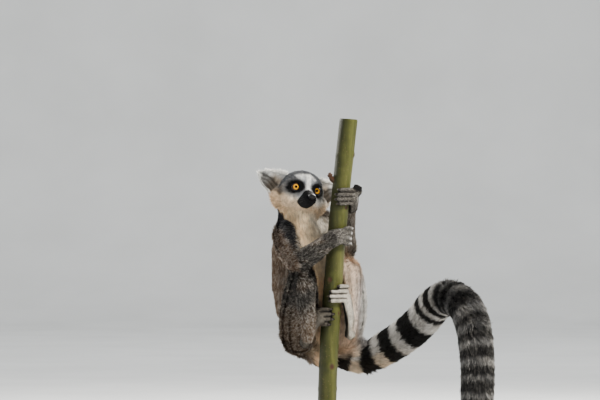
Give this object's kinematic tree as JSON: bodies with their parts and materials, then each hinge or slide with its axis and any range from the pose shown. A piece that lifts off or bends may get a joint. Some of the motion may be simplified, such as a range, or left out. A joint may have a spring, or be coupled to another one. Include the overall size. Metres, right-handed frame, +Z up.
{
  "type": "ring-tailed lemur",
  "caption": "Ring-tailed lemur clinging upright to a cut length of thin trunk, tail arched out and hanging, as a still life-size museum model on a flat display stand.",
  "frame": {"origin": "on the underside of the stand's base, close below the foot of the perch", "axes": "+Z up along the stand's rod, +X from the animal's back towards its tail's arch, -Y the way its face looks"},
  "size_m": [0.3943, 0.276, 0.5776],
  "materials": {
    "fur_grey": "dense soft fur, matt",
    "fur_brown": "dense soft fur, matt",
    "fur_cream": "dense soft fur, matt",
    "fur_white": "dense soft fur, matt",
    "fur_black": "dense soft fur, matt",
    "bare_black_skin": "moist bare skin, satin",
    "eye": "wet and glossy",
    "bark": "smooth living bark, matt",
    "stained_oak": "dark stain, satin lacquer",
    "steel": "satin"
  },
  "bodies": {
    "root": {"ear_left": "fur_white", "ear_right": "fur_white", "eye_left": "eye", "eye_right": "eye", "foot_left": "fur_cream", "foot_right": "fur_cream", "forearm_left": "fur_grey", "forearm_right": "fur_grey", "hand_left": "fur_grey", "hand_right": "fur_grey", "head": "fur_white", "neck": "fur_grey", "nose": "bare_black_skin", "perch": "bark", "shank_left": "fur_grey", "shank_right": "fur_grey", "stand_base": "stained_oak", "stand_collar": "steel", "stand_rod": "steel", "tail_1": "fur_white", "tail_2": "fur_black", "tail_3": "fur_white", "tail_4": "fur_black", "tail_5": "fur_white", "tail_6": "fur_black", "thigh_left": "fur_grey", "thigh_right": "fur_grey", "trunk": "fur_brown", "upper_arm_left": "fur_grey", "upper_arm_right": "fur_grey"}
  },
  "joints": []
}
